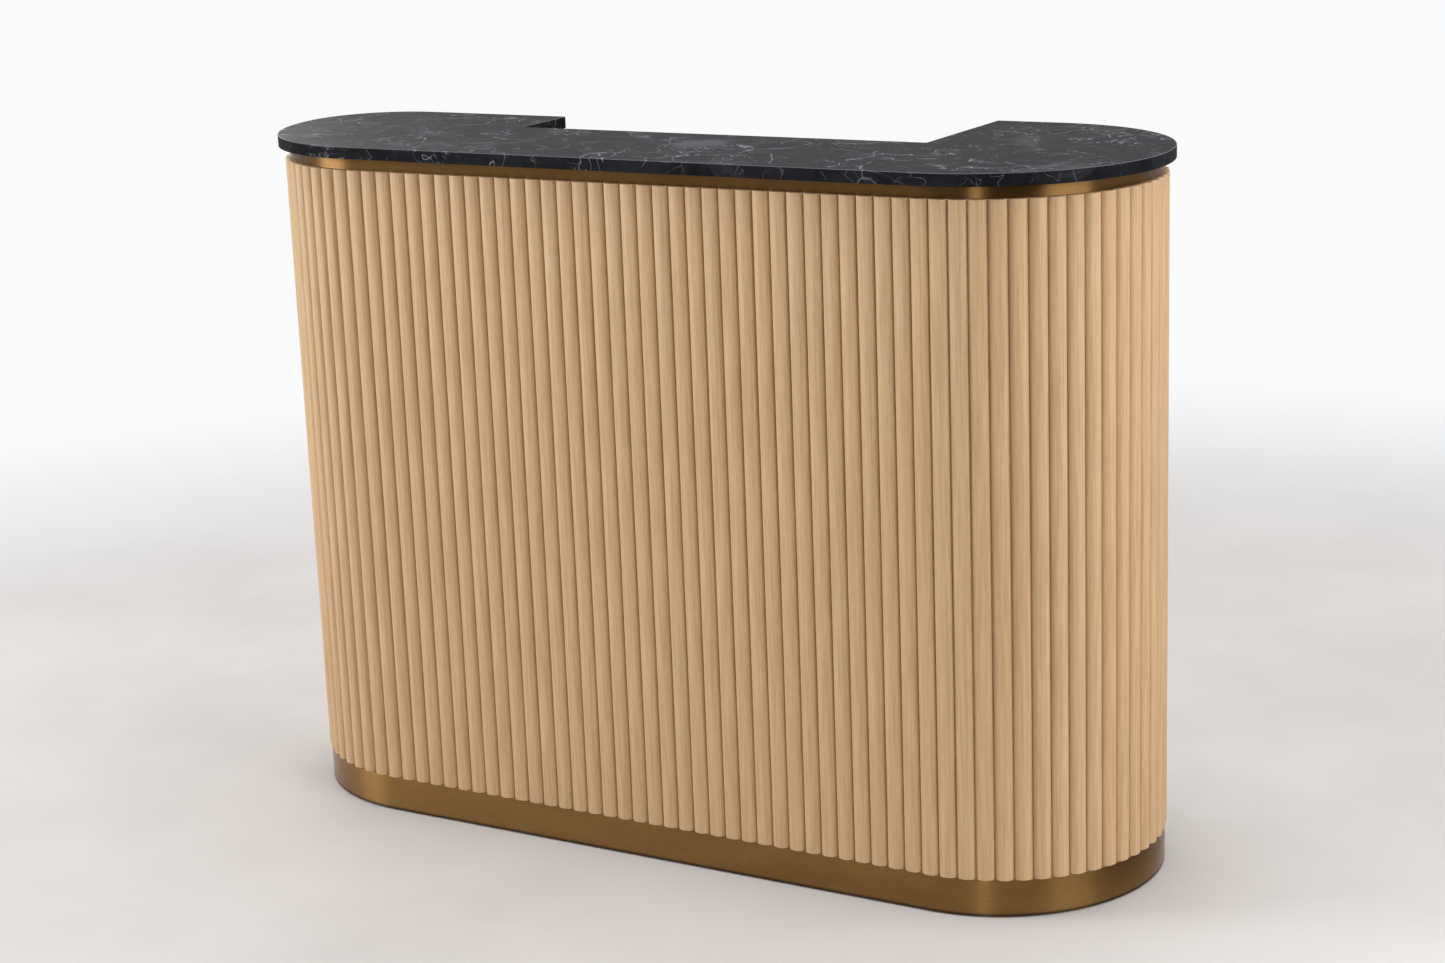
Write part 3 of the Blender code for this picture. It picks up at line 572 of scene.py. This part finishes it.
def birch():
    """Pale birch: quiet bands and fine darker flecks, drawn out along the drawer."""
    look = Look("birch_ply_fine")
    place = look.place()
    along = look.stretch(place, (1, 0.04, 1))
    bands = look.noise(along, 90, 3, 0.5, 0.4)
    fine = look.noise(along, 900, 3, 0.6)
    colour = look.mix(look.fit(bands, 0.3, 0.7), (0.74, 0.60, 0.43), (0.62, 0.47, 0.31))
    colour = look.mix(look.fit(fine, 0.5, 0.75, 0.0, 0.3), colour, (0.50, 0.36, 0.22))
    look.bump(fine, 0.00008, 0.4)
    rough = look.fit(bands, 0.2, 0.8, 0.45, 0.58)
    return look.finish(Base_Color=colour, Roughness=rough, Specular_IOR_Level=0.3)


def runner_steel():
    look = Look("runner_steel_fine")
    place = look.place()
    rolled = look.noise(look.stretch(place, (1, 0.02, 1)), 1800, 3, 0.6)
    blot = look.noise(place, 60, 4, 0.6)
    colour = look.mix(look.fit(rolled, 0.3, 0.7), (0.50, 0.51, 0.53), (0.64, 0.65, 0.66))
    colour = look.mix(look.fit(blot, 0.45, 0.75, 0.0, 0.3), colour, (0.42, 0.43, 0.45))
    look.bump(rolled, 0.00004, 0.4)
    rough = look.fit(blot, 0.3, 0.7, 0.28, 0.42)
    return look.finish(Base_Color=colour, Metallic=1.0, Roughness=rough, Anisotropic=0.5)


def foot_rubber():
    look = Look("foot_rubber_fine")
    place = look.place()
    grain = look.noise(place, 700, 4, 0.6)
    dust = look.noise(place, 40, 4, 0.6)
    colour = look.mix(look.fit(dust, 0.45, 0.8), (0.022, 0.022, 0.022), (0.06, 0.058, 0.055))
    look.bump(grain, 0.0002, 0.5)
    rough = look.fit(grain, 0.3, 0.7, 0.62, 0.78)
    return look.finish(Base_Color=colour, Roughness=rough)


# ---------------------------------------------------------------- stage


BRIGHT_SIDE = (-0.8, 0.6, 0.0)  # where the room is brightest: behind, to the left
# Strength of the room's light, against how far a direction points to the bright side
ROOM_LIGHT = {"From Min": -0.9, "From Max": 0.7, "To Min": 0.22, "To Max": 0.85}
SEEN_WHITE = 0.96  # of the room itself, to the camera
FLOOR_HALF = 30.0
FLOOR_WHITE = (0.955, 0.96, 0.965, 1.0)
FADE_CENTRE = (0.4, -0.7, 0.0)  # of the floor's fade to white
FADE_START, FADE_END = 2.0, 4.0  # metres from that centre

CAMERA_PLACE = (2.0402, -3.4712, 1.5773)
CAMERA_TURN, CAMERA_TILT, CAMERA_ROLL = -0.5285, -0.2564, -0.0375  # radians
CAMERA_LENS, CAMERA_SENSOR = 68.20, 36  # millimetres


def build_floor():
    """A pale floor that fades to white far off. Seen by other rays than the camera's, it has painted
    shade in front and to the right, and for the metal also beside the right end."""
    mesh = bpy.data.meshes.new("floor")
    corners = [(x * FLOOR_HALF, y * FLOOR_HALF, 0) for x, y in ((-1, -1), (1, -1), (1, 1), (-1, 1))]
    mesh.from_pydata(corners, [], [(0, 1, 2, 3)])
    floor = bpy.data.objects.new("floor", mesh)
    bpy.context.scene.collection.objects.link(floor)
    look = Look("pale_floor")
    place = look.place()
    cloud = look.noise(place, 1.5, 4, 0.6)
    colour = look.mix(look.fit(cloud, 0.3, 0.7), (0.56, 0.54, 0.53), (0.62, 0.60, 0.59))
    path = look.add("ShaderNodeLightPath").outputs
    seen, mirrored = path["Is Camera Ray"], path["Is Glossy Ray"]
    inputs = {0: place, 1: BRIGHT_SIDE}
    behind = look.add("ShaderNodeVectorMath", inputs, operation="DOT_PRODUCT").outputs["Value"]
    spot = look.add("ShaderNodeSeparateXYZ", {0: place}).outputs
    in_front = look.fit(spot["Y"], 0.0, 0.8, 1.0, 0.0)
    far_front = look.calc("MULTIPLY", look.fit(behind, -2.2, -1.0, 1.0, 0.0), in_front)
    # painted shade for bounced and mirrored rays: the floor far in front and to the right is near
    # black
    painted_floor_shade = look.calc("MULTIPLY", far_front, look.calc("SUBTRACT", 1.0, seen))
    colour = look.mix(painted_floor_shade, colour, (0.10, 0.09, 0.08))
    # painted shade seen only in the metal's reflections, on the floor beside the right end
    beside = look.fit(spot["X"], 1.2, 1.8, 1.0, 0.0)
    right_end = look.calc("MULTIPLY", look.fit(spot["X"], 0.70, 0.82), beside)
    colour = look.mix(look.calc("MULTIPLY", right_end, mirrored), colour, (0.13, 0.11, 0.10))
    look.finish(Base_Color=colour, Roughness=0.8, Specular_IOR_Level=0.1)
    white = look.add("ShaderNodeEmission", {"Color": FLOOR_WHITE, "Strength": 1.0})
    from_centre = look.shift(place, tuple(-along for along in FADE_CENTRE))
    away = look.add("ShaderNodeVectorMath", {0: from_centre}, operation="LENGTH").outputs["Value"]
    fade = look.calc("MULTIPLY", look.fit(away, FADE_START, FADE_END), seen)
    blend = look.add("ShaderNodeMixShader", {0: fade})
    look.feed(blend.inputs[1], look.shader.outputs[0])
    look.feed(blend.inputs[2], white.outputs[0])
    look.feed(look.tree.nodes["Material Output"].inputs["Surface"], blend.outputs[0])
    mesh.materials.append(look.material)


def build_world():
    """A white room: brightest behind and to the left, darkest on the camera's side."""
    world = bpy.data.worlds.new("studio")
    world.use_nodes = True
    bpy.context.scene.world = world
    tree = world.node_tree
    background = tree.nodes["Background"]
    direction = tree.nodes.new("ShaderNodeTexCoord").outputs["Generated"]
    towards = tree.nodes.new("ShaderNodeVectorMath")
    towards.operation = "DOT_PRODUCT"
    towards.inputs[1].default_value = BRIGHT_SIDE
    tree.links.new(direction, towards.inputs[0])
    back = tree.nodes.new("ShaderNodeMapRange")
    back.interpolation_type = "SMOOTHSTEP"
    for key, value in ROOM_LIGHT.items():
        back.inputs[key].default_value = value
    tree.links.new(towards.outputs["Value"], back.inputs["Value"])
    seen = tree.nodes.new("ShaderNodeLightPath").outputs["Is Camera Ray"]
    strength = tree.nodes.new("ShaderNodeMix")
    tree.links.new(seen, strength.inputs[0])
    tree.links.new(back.outputs["Result"], strength.inputs[2])
    strength.inputs[3].default_value = SEEN_WHITE
    tree.links.new(strength.outputs[0], background.inputs["Strength"])
    background.inputs["Color"].default_value = (1.0, 1.0, 1.0, 1.0)


def area_light(name, place, target, size, power):
    light = bpy.data.lights.new(name, "AREA")
    light.shape = "RECTANGLE"
    light.size, light.size_y = size
    light.energy = power
    obj = bpy.data.objects.new(name, light)
    obj.location = place
    obj.rotation_euler = (Vector(target) - Vector(place)).to_track_quat("-Z", "Y").to_euler()
    bpy.context.scene.collection.objects.link(obj)
    return obj


def build_camera():
    """The viewing angle, from in front and to the right, a little above the top."""
    ahead = Vector((math.sin(CAMERA_TURN), math.cos(CAMERA_TURN), 0))
    forward = ahead * math.cos(CAMERA_TILT) + Vector((0, 0, math.sin(CAMERA_TILT)))
    right = Vector((math.cos(CAMERA_TURN), -math.sin(CAMERA_TURN), 0))
    up = right.cross(forward)
    across = right * math.cos(CAMERA_ROLL) + up * math.sin(CAMERA_ROLL)
    upward = up * math.cos(CAMERA_ROLL) - right * math.sin(CAMERA_ROLL)
    data = bpy.data.cameras.new("camera")
    data.sensor_width = CAMERA_SENSOR
    data.lens = CAMERA_LENS
    camera = bpy.data.objects.new("camera", data)
    bpy.context.scene.collection.objects.link(camera)
    facing = Matrix((across, upward, -forward)).transposed().to_4x4()
    camera.matrix_world = Matrix.Translation(CAMERA_PLACE) @ facing
    bpy.context.scene.camera = camera


# ---------------------------------------------------------------- put together


GRAIN_DICE = 7


def build_object():
    dice = random.Random(GRAIN_DICE)
    slat_oak = oak("oak_slats_fine", seeded=True)
    build_slats("left_slats", -LEFT_RUN, LEFT_SLATS, dice, slat_oak)
    build_slats("front_slats", FRONT_START, FRONT_SLATS, dice, slat_oak)
    build_slats("right_slats", FRONT_END, RIGHT_SLATS, dice, slat_oak)
    build_slab(black_stone())
    # The band is the plinth's metal at 0.7 of its colour, as painted shade under the slab's overhang.
    band_bronze_painted_shade = brushed_bronze("bronze_band_fine", run_attribute="run", shade=0.7)
    build_skin("bronze_band", "upper_band", 0, BAND_LOW.z, BAND_HIGH.z, band_bronze_painted_shade)
    skin_bronze = brushed_bronze("bronze_plinth_fine", run_attribute="run")
    build_skin("bronze_plinth", "plinth_skin", SKIN_OFFSET, SKIN_LOW.z, SKIN_HIGH.z, skin_bronze)

    upright_oak = oak("oak_upright")
    for node in ("front_board", "left_shell", "right_shell", "plinth_ring"):
        dress(node, upright_oak)
    for node in ("left_gable", "right_gable", "centre_divider", "door_panel"):
        dress(node, upright_oak, BOARD_EDGE)
    flat_oak = oak("oak_flat", grain="x")
    for node in ("top_deck", "base_deck", "left_rib", "right_rib"):
        dress(node, flat_oak)
    dress("shelf", flat_oak, BOARD_EDGE)
    dress("worktop", black_laminate(), WORKTOP_EDGE)

    bronze = brushed_bronze("bronze_parts")
    steel = runner_steel()
    box_birch = birch()
    for level in ("upper", "middle", "lower"):
        body = f"drawer_{level}"
        dress(f"drawer_front_{level}", upright_oak, BOARD_EDGE)
        dress(f"drawer_box_{level}", box_birch, BOX_EDGE)
        build_pull(f"drawer_pull_{level}", body, bronze)
        for side in ("left", "right"):
            dress(f"rail_{level}_{side}", steel, RUNNER_EDGE)
            dress(f"runner_{level}_{side}", steel, RUNNER_EDGE)
    build_pull("door_pull", "door", bronze)
    dress("lock_plug", bronze)
    for node in ("plinth_back", "plinth_return"):
        dress(node, bronze, PLINTH_EDGE)
    for node in ("grommet_ring", "grommet_cap"):
        dress(node, bronze)
    for level in ("upper", "lower"):
        dress(f"hinge_leaf_{level}", bronze)
        dress(f"hinge_wing_{level}", bronze)
    rubber = foot_rubber()
    for depth in ("front", "back"):
        for side in ("left", "right"):
            dress(f"shelf_pin_{depth}_{side}", steel)
            dress(f"foot_{depth}_{side}", rubber)


def build_stage():
    bpy.context.scene.view_settings.view_transform = "Standard"
    build_floor()
    build_world()
    middle = (0, 0, 0.6)
    area_light("left_window", (-3.6, -2.2, 2.0), middle, (1.6, 2.5), 108)
    area_light("right_window", (3.75, -0.9, 1.9), middle, (2.0, 2.5), 72)
    area_light("ceiling", (0, 0.3, 3.6), (0, 0, 0), (4.0, 3.0), 60)
    area_light("front_strip", (1.6, -4.4, 0.9), middle, (0.35, 1.8), 14)
    # The fills light the wood but aren't mirrored in the metal. The sheen shows only in gloss.
    fill = area_light("low_fill", (2.4, -3.8, 0.8), (0.3, 0, 0.4), (2.4, 0.9), 18)
    fill.visible_glossy = False
    side = area_light("right_fill", (3.6, 1.2, 1.6), middle, (2.0, 2.0), 32)
    side.visible_glossy = False
    sheen = area_light("stone_sheen", (-3.4, 2.2, 2.1), (-0.4, 0, 1.05), (1.2, 1.2), 32)
    sheen.visible_diffuse = False
    build_camera()


build_object()
build_stage()
